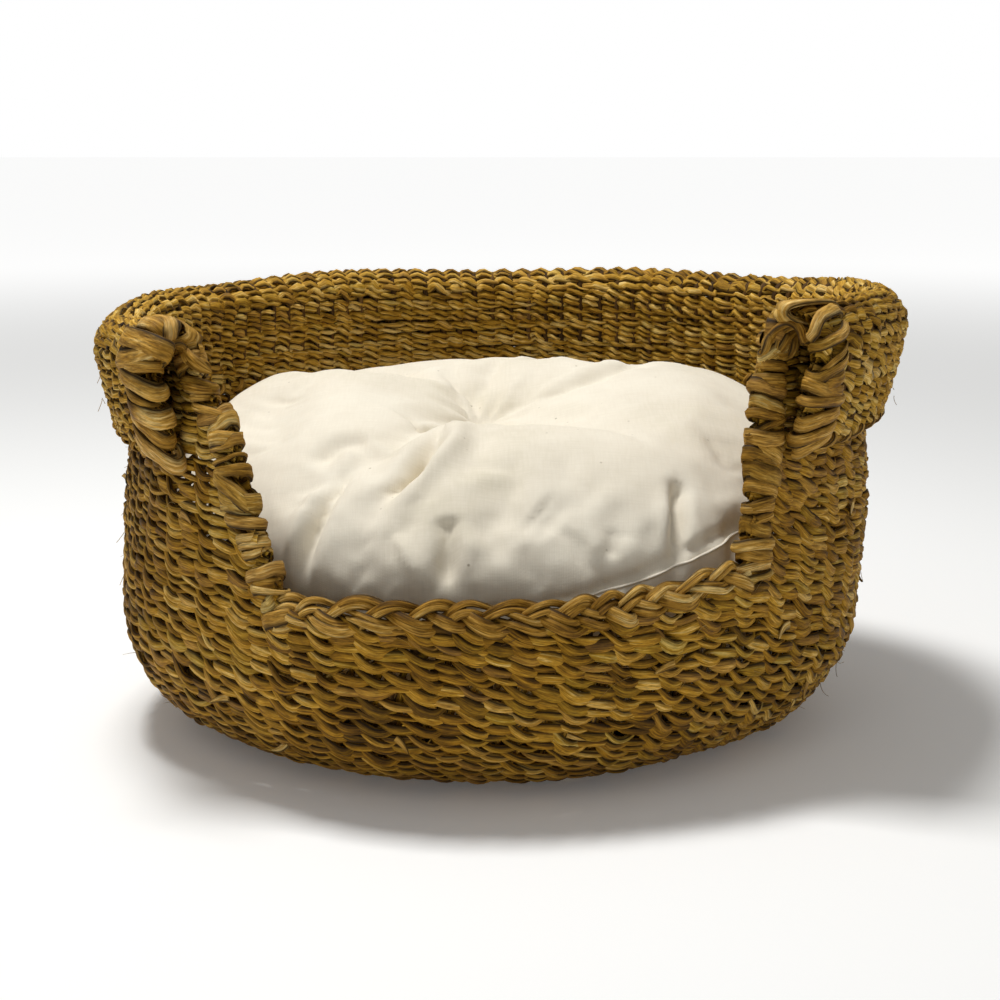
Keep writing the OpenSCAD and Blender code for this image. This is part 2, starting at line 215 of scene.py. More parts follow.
# collects swept strands and turns them into one mesh
class StrandMesh:
    def __init__(self):
        self.points, self.faces, self.uv, self.lane, self.tone, self.hue = [], [], [], [], [], []
        self.count = 0
        self.strands = 0

    # rings of an oval section along a line; wide lies across the strand and thick along the normal
    def sweep(self, centre, normal, wide, thick, tone, hue, sides=8, closed=False, crease=0.0):
        n = len(centre)
        wide, thick, tone, hue = (np.broadcast_to(v, n) for v in (wide, thick, tone, hue))
        tangent = np.gradient(centre, axis=0)
        twist = np.linspace(0, n / 9, n)
        if closed:
            tangent = np.roll(centre, -1, 0) - np.roll(centre, 1, 0)
            twist = np.sin(np.arange(n) * math.tau * 40 / n)
        across = unit(np.cross(unit(tangent), normal))
        face = np.cross(across, unit(tangent))
        turn = (np.arange(sides) + 0.5) / sides * 2 * math.pi
        fold = 1 + crease * np.sin(3 * turn + self.strands * 2.4 + twist[:, None])
        rings = (
            centre[:, None, :]
            + face[:, None, :] * (thick[:, None] / 2 * np.cos(turn) * fold)[..., None]
            + across[:, None, :] * (wide[:, None] / 2 * np.sin(turn) * fold)[..., None]
        )
        along = np.concatenate([[0], np.cumsum(np.linalg.norm(np.diff(centre, axis=0), axis=1))])
        spans = n if closed else n - 1
        i = np.arange(spans)[:, None]
        j = np.arange(sides)[None, :]
        nextI, nextJ = (i + 1) % n, (j + 1) % sides
        corners = np.stack(np.broadcast_arrays(
            i * sides + j, i * sides + nextJ, nextI * sides + nextJ, nextI * sides + j), -1)
        low = np.broadcast_to(along[:spans, None], (spans, sides))
        high = np.broadcast_to(np.append(along[1:], along[-1] + along[1])[:spans, None], (spans, sides))
        left = np.broadcast_to(j / sides, (spans, sides))
        right = left + 1 / sides
        uv = np.stack([np.stack([low, left], -1), np.stack([low, right], -1),
                       np.stack([high, right], -1), np.stack([high, left], -1)], 2)
        self.points.append(rings.reshape(-1, 3))
        self.faces.append(corners.reshape(-1, 4) + self.count)
        self.uv.append(uv.reshape(-1, 4, 2))
        self.lane.append(np.full(spans * sides, self.strands))
        self.tone.append(np.repeat(tone, sides))
        self.hue.append(np.repeat(hue, sides))
        self.count += n * sides
        self.strands += 1

    def build(self, name):
        points, faces = np.concatenate(self.points), np.concatenate(self.faces)
        # nothing sinks into the floor
        points[:, 2] = np.maximum(points[:, 2], 0.0002)
        uv, lane = np.concatenate(self.uv), np.concatenate(self.lane)
        mesh = bpy.data.meshes.new(name)
        mesh.vertices.add(len(points))
        mesh.vertices.foreach_set("co", points.ravel())
        mesh.loops.add(len(faces) * 4)
        mesh.loops.foreach_set("vertex_index", faces.ravel().astype(np.int32))
        mesh.polygons.add(len(faces))
        mesh.polygons.foreach_set("loop_start", np.arange(0, len(faces) * 4, 4, dtype=np.int32))
        mesh.update(calc_edges=True)
        # the shifts keep each strand's own place in the pattern, and its own lane in the sheet
        own = uv.copy()
        own[..., 0] += (lane * 1.37)[:, None]
        sheet = uv.copy()
        sheet[..., 0] = sheet[..., 0] / uv[..., 0].max() * 0.998 + 0.001
        sheet[..., 1] = (lane[:, None] + 0.04 + uv[..., 1] * 0.92) / self.strands
        for label, values in (("strand", own), ("OFBake", sheet)):
            mesh.uv_layers.new(name=label).data.foreach_set("uv", values.ravel())
        mesh.uv_layers.active = mesh.uv_layers["strand"]
        for label, values in (("tone", self.tone), ("hue", self.hue)):
            attribute = mesh.attributes.new(label, "FLOAT", "POINT")
            attribute.data.foreach_set("value", np.concatenate(values).astype(np.float32))
        mesh.validate()
        mesh.shade_smooth()
        piece = bpy.data.objects.new(name, mesh)
        bpy.context.scene.collection.objects.link(piece)
        print(name, len(faces) * 2, "triangles")
        return piece


weave = {
    "rings": 5.0,         # rings of the mesh between two stalks
    "sides": 8,
    "front": 0.84,        # share of its run that a strand lies in front of the stalks
    "swing": 0.0032,      # how far a strand stands off the wall's middle
    "slant": (0.0040, 0.0021),
    "wave": 0.0008,
    "wide": 0.0060,       # a float's height at its middle
    "narrow": 0.0018,     # and at its ends
    "thick": 0.0035,
    "crease": 0.13,       # how deep the folded stalk's lengthwise creases are
    "uneven": 0.14,
    "stray": 0.0014,
    "late": 0.1,          # share of a stalk's spacing by which the floats are out of step
    "loose": 0.0,         # how much slimmer the strands are on the left, where the holes show
    "pale": 0.0,
}


def style(**changes):
    return {**weave, **changes}


# one row of twining: two strands that pass before and behind the stalks by turns
def twineRow(mesh, place, ahead, fromStake, toStake, look, seed, closed=False, stakes=None):
    random = np.random.default_rng(seed)
    steps = int(round((toStake - fromStake) * look["rings"]))
    q = np.linspace(fromStake, toStake, steps, endpoint=not closed)
    angle = angleOfStake(q * plan["stakes"] / (stakes or plan["stakes"]))
    drift = random.uniform(0, 6.28, 3)
    stray = (
        np.sin(angle * 3 + drift[0]) * 0.4
        + np.sin(angle * 8 + drift[1]) * 0.35
        + np.sin(angle * 17 + drift[2]) * 0.25
    ) * look["stray"]
    outFlat = np.stack([np.sin(angle), -np.cos(angle), np.zeros_like(angle)], -1)
    rise = np.array([0, 0, 1.0])
    up = outFlat * ahead[0] + rise * ahead[1]
    out = outFlat * ahead[1] - rise * ahead[0]
    middle = wallPoint(angle, np.full_like(angle, place[0]), np.full_like(angle, place[1]))
    middle = middle + up * (stray + np.cos(math.pi * q) * look["wave"])[:, None]
    slack = 1 - look["loose"] * np.exp(-((angle + 1.15) / 0.5) ** 2)
    late = np.sin(angle * 6 + drift[2]) * 0.12 + random.normal(0, look["late"])
    for ply in (0, 1):
        turn = (q + ply + late) / 2
        count = np.floor(turn).astype(int)
        count -= count.min()
        u = turn - np.floor(turn)
        onFace = u < look["front"]
        x = np.where(onFace, u / look["front"], (u - look["front"]) / (1 - look["front"]))
        reach, girth, tilt, bow = (random.normal(1, look["uneven"] * k, count.max() + 1)[count]
                                   for k in (1, 1.4, 2.2, 2))
        depth = np.where(onFace, np.sin(math.pi * x) ** 0.8 * reach, -0.9 * np.sin(math.pi * x))
        drop = np.where(onFace, np.sin(0.62 * math.pi * x), 0.93 * (1 - smooth(x, 0, 1)))
        lift = (1 - 2 * drop) * look["slant"][ply] * tilt
        lens = np.where(onFace, np.sin(math.pi * (0.05 + 0.9 * x) ** 0.9 * 0.98) ** 0.7,
                        0.25 + 0.5 * np.sin(math.pi * x))
        lift = lift - np.where(onFace, np.sin(math.pi * x), 0) * 0.0006 * (bow - 1) * 4
        centre = middle + out * (depth * look["swing"])[:, None] + up * lift[:, None]
        wide = (look["narrow"] + (look["wide"] - look["narrow"]) * lens) * girth * slack
        tone = random.uniform(0, 1, count.max() + 1)[count] * 0.6 + random.uniform(0, 0.4)
        hue = random.uniform(0, 1, count.max() + 1)[count]
        mesh.sweep(centre, out, wide, look["thick"] * slack, np.clip(tone + look["pale"], 0, 1.3), hue,
                   sides=look["sides"], closed=closed, crease=look["crease"])


def ringRows(name, curve, rows, look, seed, part=(0.0, 1.0)):
    mesh = StrandMesh()
    points, ahead = rowPlaces(curve, rows)
    for row in range(int(rows * part[0]), int(rows * part[1])):
        twineRow(mesh, points[row], ahead[row], 0, plan["stakes"], look, seed + row, closed=True)
    return mesh.build(name)


# rows that stop at the two edges of the opening: from the right edge round the back to the left
def openRows(name, curve, rows, look, seed, part="wall"):
    mesh = StrandMesh()
    points, ahead = rowPlaces(curve, rows)
    for row in range(rows):
        off, z = points[row]
        right = stakeOfAngle(openingAngle(z, "right", off, part))
        left = stakeOfAngle(openingAngle(z, "left", off, part)) + plan["stakes"]
        twineRow(mesh, points[row], ahead[row], right, left, look, seed + row)
    return mesh.build(name)


def finishPiece(piece, material, slotName, *nodes, body="basket"):
    piece.data.materials.append(material)
    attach(piece, body)
    if nodes:
        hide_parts(*nodes)
    return piece


def colour(code):
    parts = [int(code[i:i + 2], 16) / 255 for i in (1, 3, 5)]
    return [p / 12.92 if p <= 0.04045 else ((p + 0.055) / 1.055) ** 2.4 for p in parts] + [1.0]


def newMaterial(name):
    material = bpy.data.materials.new(name)
    material.use_nodes = True
    tree = material.node_tree
    return material, tree, tree.nodes["Principled BSDF"]


# adds a node with its settings; an input is a number, a colour or another node, whose first
# output is taken, or one of its sockets; stops are a colour ramp's places and colours
def add(tree, kind, settings=None, inputs=None, stops=()):
    made = tree.nodes.new(kind)
    for key, value in (settings or {}).items():
        setattr(made, key, value)
    for key, value in (inputs or {}).items():
        if isinstance(value, bpy.types.Node):
            value = value.outputs[0]
        if isinstance(value, bpy.types.NodeSocket):
            tree.links.new(value, made.inputs[key])
        else:
            made.inputs[key].default_value = value
    for index, (at, code) in enumerate(stops):
        points = made.color_ramp.elements
        point = points[index] if index < 2 else points.new(at)
        point.position = at
        point.color = colour(code)
    return made


# dried rush, twined while damp: fine ribs run along each stalk, and its skin has a dull satin
# shine; every float has its own age, from olive green through ochre to a pinkish straw
def rushMaterial(name, stops, greenest=0.5):
    material, tree, shader = newMaterial(name)
    uv = add(tree, "ShaderNodeUVMap", {"uv_map": "strand"})
    tone = add(tree, "ShaderNodeAttribute", {"attribute_name": "tone"}).outputs["Fac"]
    hue = add(tree, "ShaderNodeAttribute", {"attribute_name": "hue"}).outputs["Fac"]
    place = add(tree, "ShaderNodeTexCoord").outputs["Object"]
    # creases about 1.5 mm apart across the strand and 20 mm long, and ribs 0.5 mm apart
    ribs = add(tree, "ShaderNodeTexNoise", inputs={
        "Vector": add(tree, "ShaderNodeMapping", inputs={"Vector": uv, "Scale": (50, 11, 1)}),
        "Scale": 1.0, "Detail": 4.0, "Roughness": 0.65})
    fine = add(tree, "ShaderNodeTexNoise", inputs={
        "Vector": add(tree, "ShaderNodeMapping", inputs={"Vector": uv, "Scale": (160, 30, 1)}),
        "Scale": 1.0, "Detail": 3.0, "Roughness": 0.6})
    patch = add(tree, "ShaderNodeTexNoise", inputs={"Vector": place, "Scale": 9.0, "Detail": 2.0})
    spot = add(tree, "ShaderNodeTexNoise", inputs={"Vector": place, "Scale": 75.0, "Detail": 3.0})
    ribShade = add(tree, "ShaderNodeMath", {"operation": "MULTIPLY_ADD"}, {0: ribs, 1: 1.6, 2: -0.8})
    toneShade = add(tree, "ShaderNodeMath", {"operation": "MULTIPLY_ADD"}, {
        0: tone, 1: 0.55, 2: ribShade})
    patchShade = add(tree, "ShaderNodeMath", {"operation": "MULTIPLY_ADD"}, {
        0: patch, 1: 0.45, 2: toneShade})
    spotShade = add(tree, "ShaderNodeMath", {"operation": "MULTIPLY_ADD"}, {
        0: spot, 1: 0.4, 2: patchShade})
    shade = add(tree, "ShaderNodeMath", {"operation": "ADD"}, {0: spotShade, 1: -0.13})
    base = add(tree, "ShaderNodeValToRGB", inputs={"Fac": shade}, stops=stops)
    greenShare = add(tree, "ShaderNodeMapRange", inputs={
        "Value": hue, "From Min": 0.62, "From Max": 1.0, "To Min": 0.0, "To Max": greenest})
    green = add(tree, "ShaderNodeMix", {"data_type": "RGBA", "blend_type": "MULTIPLY"}, {
        "Factor": greenShare, "A": base, "B": colour("#b9c98a")})
    pinkShare = add(tree, "ShaderNodeMapRange", inputs={
        "Value": hue, "From Min": 0.0, "From Max": 0.22, "To Min": 0.22, "To Max": 0.0})
    pink = add(tree, "ShaderNodeMix", {"data_type": "RGBA"}, {
        "Factor": pinkShare, "A": green.outputs["Result"], "B": colour("#b98f5c")})
    streak = add(tree, "ShaderNodeMapRange", inputs={
        "Value": fine, "From Min": 0.34, "From Max": 0.58, "To Min": 0.46, "To Max": 1.05})
    final = add(tree, "ShaderNodeMix", {"data_type": "RGBA", "blend_type": "MULTIPLY"}, {
        "Factor": 1.0, "A": pink.outputs["Result"], "B": streak})
    # painted shade: each strand is darkened towards a peat brown along its edges, which lie deep in the
    # weave, where shade falls between the rows
    around = add(tree, "ShaderNodeSeparateXYZ", inputs={"Vector": uv}).outputs["Y"]
    turn = add(tree, "ShaderNodeMath", {"operation": "MULTIPLY"}, {0: around, 1: math.tau})
    cosine = add(tree, "ShaderNodeMath", {"operation": "COSINE"}, {0: turn})
    facing = add(tree, "ShaderNodeMath", {"operation": "ABSOLUTE"}, {0: cosine})
    depth = add(tree, "ShaderNodeMapRange", inputs={
        "Value": facing, "From Min": 0.0, "From Max": 0.85, "To Min": 0.0, "To Max": 1.0})
    edgeShadePainted = add(tree, "ShaderNodeMix", {"data_type": "RGBA"}, {
        "Factor": depth, "A": colour("#1d1103"), "B": final.outputs["Result"]})
    tree.links.new(edgeShadePainted.outputs["Result"], shader.inputs["Base Color"])
    rough = add(tree, "ShaderNodeMapRange", inputs={"Value": ribs, "To Min": 0.5, "To Max": 0.78})
    tree.links.new(rough.outputs[0], shader.inputs["Roughness"])
    shader.inputs["Specular IOR Level"].default_value = 0.16
    height = add(tree, "ShaderNodeMath", {"operation": "MULTIPLY_ADD"}, {0: ribs, 1: 1.3, 2: fine})
    bump = add(tree, "ShaderNodeBump", inputs={"Strength": 0.7, "Distance": 0.0007, "Height": height})
    tree.links.new(bump.outputs["Normal"], shader.inputs["Normal"])
    return material


rushTwined = rushMaterial("rushTwined", [
    (0.0, "#3a2402"), (1.0, "#f2cb74"), (0.28, "#704c0a"), (0.5, "#a27316"), (0.75, "#cc9a30")])
rushGolden = rushMaterial("rushGolden", [
    (0.0, "#402903"), (1.0, "#f6d27e"), (0.28, "#7c560f"), (0.5, "#b0811f"), (0.75, "#d6a63e")], 0.3)
rushWrapped = rushMaterial("rushWrapped", [
    (0.0, "#402a05"), (1.0, "#f4d388"), (0.28, "#785212"), (0.5, "#a87a26"), (0.75, "#cfa049")], 0.3)
# the stalks are real, but their colour is kept much darker than the rows: painted shade for the gaps
# between the rows, where the stalks show
rushStalkShaded = rushMaterial("rushStalkShaded", [(0.0, "#2a1a06"), (1.0, "#7c5822"), (0.5, "#523711")], 0.1)
print("rush materials ready")

# bottom of the bowl, belly, sides and collar, all twined
bottomLook = style(wide=0.0064, uneven=0.16, stray=0.0016)
finishPiece(ringRows("bottomRowsLow", bottomCurve, 16, bottomLook, 100, (0, 0.5)),
            rushTwined, "rush_weave", "bottom_weave")
finishPiece(ringRows("bottomRowsHigh", bottomCurve, 16, bottomLook, 120, (0.5, 1)),
            rushTwined, "rush_weave")
finishPiece(ringRows("bellyRows", bellyLine, 5, weave, 200), rushTwined, "rush_weave", "belly_weave")
sideLook = style(loose=0.18, uneven=0.16, slant=(0.0032, 0.0018))
finishPiece(openRows("sideRows", sideLine, 14, sideLook, 300),
            rushTwined, "rush_weave", "side_weave")
innerLook = style(rings=4.0, sides=6, wide=0.0050, narrow=0.0020, slant=(0.0015, 0.0012), wave=0.0003,
                  swing=0.0028, thick=0.0032, front=0.66, pale=0.24)
finishPiece(openRows("collarInnerRows", limbLine, 15, innerLook, 400),
            rushGolden, "rush_weave", "collar_inner_weave")
flapLook = style(wide=0.0068, narrow=0.0028, swing=0.0032, thick=0.0038, uneven=0.2, stray=0.0014,
                 slant=(0.0019, 0.0012), front=0.74, pale=0.14)
crestLook = {**flapLook, "slant": (0.0012, 0.0009), "wave": 0.0003, "wide": 0.0066, "narrow": 0.0040,
             "swing": 0.0020}
finishPiece(openRows("collarCrestRows", crestCurve, 7, crestLook, 500, "crest"),
            rushGolden, "rush_weave", "collar_outer_weave")
finishPiece(openRows("collarFlapRows", flapCurve, 11, flapLook, 600, "flap"), rushGolden, "rush_weave")
print("walls woven")

# rows under the bowl, down to the crossed rods that the basket was started on
base = {
    "rows": 14,
    "pitch": 0.0074,
    "rods": 6,            # each way
    "rodLong": (0.118, 0.088),  # half the length, along and across the basket
    "rodGap": 0.0076,
    "rodWide": 0.0088,
    "rodThick": 0.0042,
    "rodHeight": 0.0052,
    "rodBend": 0.0012,
    "crossing": 0.024,    # half the square where the two layers cross
}


def baseRows():
    mesh = StrandMesh()
    look = style(wide=0.0092, narrow=0.0040, swing=0.0022, thick=0.0028, wave=0, rings=6.0,
                 slant=(0.0018, 0.0014))
    for row in range(base["rows"]):
        off = -baseInset - (row + 0.4) * base["pitch"]
        stakes = plan["stakes"] if row < 3 else plan["stakes"] // 2
        twineRow(mesh, (off, plan["rowHalf"]), np.array([1.0, 0.0]), 0, stakes, look, 700 + row,
                 closed=True, stakes=stakes)
    return mesh.build("baseRows")


def baseRods():
    mesh = StrandMesh()
    random = np.random.default_rng(31)
    for turned in (False, True):
        for rod in range(base["rods"]):
            side = (rod - (base["rods"] - 1) / 2) * base["rodGap"]
            t = np.linspace(-1, 1, 28)
            reach = base["rodLong"][int(turned)]
            bend = np.sin(t * 2 + random.uniform(0, 6)) * base["rodBend"]
            crosses = np.abs(t * reach) < base["crossing"]
            weaveUp = np.where(crosses, (1 if turned else -1) * base["rodBend"], 0)
            flat = [t * reach, side + bend]
            x, y = flat[::-1] if turned else flat
            centre = np.stack([x, y + plan["centreY"], base["rodHeight"] + weaveUp], -1)
            mesh.sweep(centre, np.array([0, 0, 1.0]), base["rodWide"], base["rodThick"],
                       random.uniform(0.3, 0.9), random.uniform(0, 1), sides=8)
    return mesh.build("baseRods")


finishPiece(baseRows(), rushTwined, "rush_weave", "base_weave")
finishPiece(baseRods(), rushWrapped, "rush_stake", "base_cross")

# upright stalks that the rows are twined on
stalks = {"wide": 0.0046, "thick": 0.0030, "rimDip": 0.004}


def wallSection(full):
    t = np.linspace(0, 1, 9)
    parts = [bottomCurve(t), bellyLine(t[1:]), sideLine(t[1:])]
    if full:
        parts += [limbLine(t[1:]), crestCurve(t[1:]), flapCurve(t[1:])]
    return np.concatenate(parts)


def stalkRows(name, wanted):
    mesh = StrandMesh()
    random = np.random.default_rng(41)
    for stake in range(plan["stakes"]):
        angle = float(angleOfStake(stake + 0.5))
        side = "right" if angle > 0 else "left"
        edges = [abs(openingAngle(z, side)) for z in (rimTop, crestTop)] + [
            math.radians(plan["flap" + side.capitalize()])]
        shade, tint = random.uniform(0, 0.8), random.uniform(0, 1)
        behind = abs(angle) > max(edges) + 0.015
        if behind != (wanted == "back"):
            continue
        path = wallSection(behind)
        if not behind:
            rising = np.clip((abs(angle) - edges[0]) / (edges[1] - edges[0]), 0, 1)
            top = rimTop - stalks["rimDip"] + rising * (crestTop - rimTop) * 0.9
            path = path[path[:, 1] < top]
        angles = np.full(len(path), angle)
        centre = wallPoint(angles, path[:, 0], path[:, 1])
        radial = np.array([math.sin(angle), -math.cos(angle), 0])
        slope = unit(np.gradient(path, axis=0))
        normal = radial * slope[:, 1:] - np.array([0, 0, 1.0]) * slope[:, :1]
        mesh.sweep(centre, normal, stalks["wide"], stalks["thick"], shade, tint, sides=6)
    return mesh.build(name)


finishPiece(stalkRows("stalksFront", "front"), rushStalkShaded, "rush_stake", "front_stakes")
finishPiece(stalkRows("stalksBack", "back"), rushStalkShaded, "rush_stake", "back_stakes")

# three-strand plait that finishes the rim
plait = {
    "period": 0.054,      # length in which a strand swings over and back
    "swing": 0.0056,
    "depth": 0.0030,
    "wide": 0.0046,       # one of the two stalks of a strand
    "thick": 0.0042,
    "apart": 0.0018,
    "rise": 0.0068,       # the plait's middle below the rim's top
}


def rimPlait():
    mesh = StrandMesh()
    random = np.random.default_rng(51)
    ends = openingAngle(rimTop, "left") - 0.01, openingAngle(rimTop, "right") + 0.01
    angle = np.linspace(*ends, 260)
    x, y = planPoint(angle, wallOff)
    run = np.concatenate([[0], np.cumsum(np.hypot(np.diff(x), np.diff(y)))])
    out = np.stack([np.sin(angle), -np.cos(angle), np.zeros_like(angle)], -1)
    rise = np.array([0, 0, 1.0])
    across = unit(rise * 0.88 - out * 0.48)
    face = unit(out * 0.88 + rise * 0.48)
    for strand in range(3):
        drift = random.uniform(0, 6.28, 3)
        phase = run / plait["period"] * 2 * math.pi + strand * 2 * math.pi / 3
        phase = phase + 0.4 * np.sin(run * 30 + 1.0) + 0.25 * np.sin(run * 71)
        size = 1 + 0.2 * np.sin(run * 55 + drift[0]) + 0.1 * np.sin(run * 131 + drift[1])
        middle = wallPoint(angle, np.full_like(angle, wallOff + 0.0012), np.full_like(angle, rimTop))
        middle = middle - rise * plait["rise"]
        centre = (middle + across * (np.sin(phase) * plait["swing"] * size)[:, None]
                  + face * (np.sin(2 * phase) * plait["depth"])[:, None])
        for stalk in (-1, 1):
            apart = stalk * plait["apart"] * (1 + 0.5 * np.sin(run * 40 + drift[2]))
            height = 0.0006 * np.sin(run * 60 + stalk * 2 + drift[1])
            tone = 0.45 + 0.3 * np.sin(run * 24 + drift[2] + stalk) + random.uniform(-0.1, 0.35)
            mesh.sweep(centre + across * apart[:, None] + face * height[:, None],
                       face + across * 0.4 * np.cos(phase)[:, None], plait["wide"] * size,
                       plait["thick"] * size, tone, random.uniform(0.05, 0.7), sides=10, crease=0.14)
    return mesh.build("rimPlait")


finishPiece(rimPlait(), rushWrapped, "rush_binding", "front_rim_plait")

# flat rush wound round an edge: back points along the wall and face out of it
wrap = {
    "pitch": 0.0062,
    "rings": 22,          # rings of the mesh in one turn
    "reach": 0.0092,      # half the breadth of a turn, along the wall
    "depth": 0.0056,      # half its depth, through the wall
    "over": 0.0012,       # how far a turn stands past the edge
    "wide": 0.0076,
    "thick": 0.0036,
    "uneven": 0.24,
}


def wrapEdge(mesh, path, back, face, look, seed):
    random = np.random.default_rng(seed)
    run = np.concatenate([[0], np.cumsum(np.linalg.norm(np.diff(path, axis=0), axis=1))])
    turns = int(run[-1] / look["pitch"])
    s = np.linspace(0, 1, turns * look["rings"])
    turn = s * turns
    knots = np.arange(turns + 2)
    place = s * run[-1]

    def wander(amount):
        return np.interp(turn, knots, random.normal(0, look["uneven"] * amount, turns + 2))

    place = np.clip(place + wander(1.6) * look["pitch"], 0, run[-1])
    at = [np.stack([np.interp(place, run, column) for column in rows.T], -1)
          for rows in (path, back, face)]
    spin = turn * 2 * math.pi
    c, d = np.cos(spin), np.sin(spin)
    c, d = (np.sign(v) * np.abs(v) ** 0.75 for v in (c, d))
    reach = look["reach"] * (1 + wander(1.1))
    depth = look["depth"] * (1 + wander(0.7))
    along = unit(np.gradient(path, axis=0))
    along = np.stack([np.interp(place, run, column) for column in along.T], -1)
    slant = wander(1.4) * 0.012 * np.cos(spin) + 0.0022 * np.cos(spin)
    centre = (at[0] + at[1] * (look["reach"] - look["over"] - reach * c)[:, None]
              + at[2] * (depth * d)[:, None] + along * slant[:, None])
    normal = -at[1] * (c * depth)[:, None] + at[2] * (d * reach)[:, None]
    tones = random.uniform(0.3, 0.9, turns + 2)[np.floor(turn + 0.25).astype(int)]
    hues = random.uniform(0, 1, turns + 2)[np.floor(turn + 0.25).astype(int)]
    mesh.sweep(centre, normal, look["wide"] * (1 + wander(1.3)), look["thick"] * (1 + wander(1)),
               tones, hues, sides=10, crease=0.16)


# the opening's edge as rows of [point, back, face] along a part of the wall's section
def edgeLine(section, side, parts, shift=0.0):
    sign = 1 if side == "right" else -1
    angle = np.concatenate([openingAngle(section[a:b, 1], side, section[a:b, 0], part) + sign * shift
                            for part, a, b in parts])
    point = wallPoint(angle, section[:, 0], section[:, 1])
    back = np.stack([np.cos(angle), np.sin(angle), np.zeros_like(angle)], -1) * sign
    radial = np.stack([np.sin(angle), -np.cos(angle), np.zeros_like(angle)], -1)
    slope = unit(np.gradient(section, axis=0))
    face = radial * slope[:, 1:] - np.array([0, 0, 1.0]) * slope[:, :1]
    return point, back, unit(face)


def edgeBinding(side, seed):
    t = np.linspace(0, 1, 40)
    section = np.concatenate([sideLine(t), limbLine(t[1:])])
    section = section[section[:, 1] > rimTop - 0.012]
    mesh = StrandMesh()
    wrapEdge(mesh, *edgeLine(section, side, [("wall", 0, None)]), wrap, seed)
    return mesh.build(side + "EdgeBinding")


def collarEnd(side, seed):
    t = np.linspace(0, 1, 40)
    section = np.concatenate([crestCurve(t), flapCurve(t[1:])])
    mesh = StrandMesh()
    look = {**wrap, "pitch": 0.0070, "reach": 0.0112, "depth": 0.0056, "wide": 0.0090, "thick": 0.0040,
            "uneven": 0.26}
    wrapEdge(mesh, *edgeLine(section, side, [("crest", 0, 40), ("flap", 40, None)]), look, seed)
    return mesh.build(side + "CollarEnd")


hood = {"strands": 4, "gap": 0.0058, "wide": 0.0066, "thick": 0.0042, "stand": 0.0062}


# broad stalks laid over the collar's end, from the inner wall across the crest to the flap
def collarHood(side, seed):
    random = np.random.default_rng(seed)
    mesh = StrandMesh()
    t = np.linspace(0, 1, 30)
    for strand in range(hood["strands"]):
        low, high = random.uniform(0.0, 0.14), random.uniform(0.1, 0.34)
        limb = limbLine(0.8 + low + (0.2 - low) * t)
        path = np.concatenate([limb, crestCurve(t[1:]), flapCurve(high * t[1:])])
        parts = [("wall", 0, 30), ("crest", 30, 59), ("flap", 59, None)]
        shift = (strand * hood["gap"] - 0.002) / frontRadius
        point, back, face = edgeLine(path, side, parts, shift)
        share = np.linspace(-1, 1, len(path))
        lean = random.normal(0.004, 0.004) * share
        wave = 0.0018 * np.sin(share * 3 + random.uniform(0, 6))
        stand = hood["stand"] + wave - 0.0035 * np.abs(share) ** 6
        centre = point + back * lean[:, None] + face * stand[:, None]
        end = 1 - 0.75 * np.abs(share) ** 8
        mesh.sweep(centre, face, hood["wide"] * end * random.normal(1, 0.14), hood["thick"] * end,
                   random.uniform(0.4, 1.0), random.uniform(0, 0.7), sides=10, crease=0.16)
    return mesh.build(side + "CollarHood")


for side, seed in (("left", 61), ("right", 71)):
    finishPiece(edgeBinding(side, seed), rushWrapped, "rush_binding", side + "_edge_binding")
    finishPiece(collarEnd(side, seed + 1), rushWrapped, "rush_binding", side + "_collar_end")
    finishPiece(collarHood(side, seed + 2), rushWrapped, "rush_binding")

# thin rush that whips the collar's lower edge to the waist
lashing = {"pitch": 1.5, "reach": 0.0072, "height": 0.0046, "wide": 0.0042, "thick": 0.0022}


def collarLashing():
    mesh = StrandMesh()
    z = flapEnd[1] + 0.001
    right = stakeOfAngle(openingAngle(z, "right", part="flap") + 0.03)
    left = stakeOfAngle(openingAngle(z, "left", part="flap") - 0.03) + plan["stakes"]
    q = np.linspace(right, left, int((left - right) * 12))
    angle = angleOfStake(q)
    spin = q / lashing["pitch"] * 2 * math.pi
    off = (waistOff + flapEnd[0]) / 2 + np.cos(spin) * (lashing["reach"] + 0.0022)
    centre = wallPoint(angle, off, z + np.sin(spin) * lashing["height"])
    radial = np.stack([np.sin(angle), -np.cos(angle), np.zeros_like(angle)], -1)
    normal = radial * np.cos(spin)[:, None] + np.array([0, 0, 1.0]) * np.sin(spin)[:, None]
    mesh.sweep(centre, normal, lashing["wide"], lashing["thick"], 0.5, 0.4, sides=6)
    return mesh.build("collarLashing")


finishPiece(collarLashing(), rushWrapped, "rush_binding", "collar_lashing")

# loose fibres and the pale cut ends of stalks that stand out of the weave
strays = {
    "fibres": 130,
    "ends": 34,
    "fibreLong": (0.006, 0.02),
    "endLong": (0.009, 0.017),
    "fibreWide": 0.0005,
    "endWide": (0.003, 0.0055),
    "clear": 0.12,        # radians beside the opening that are left bare
}


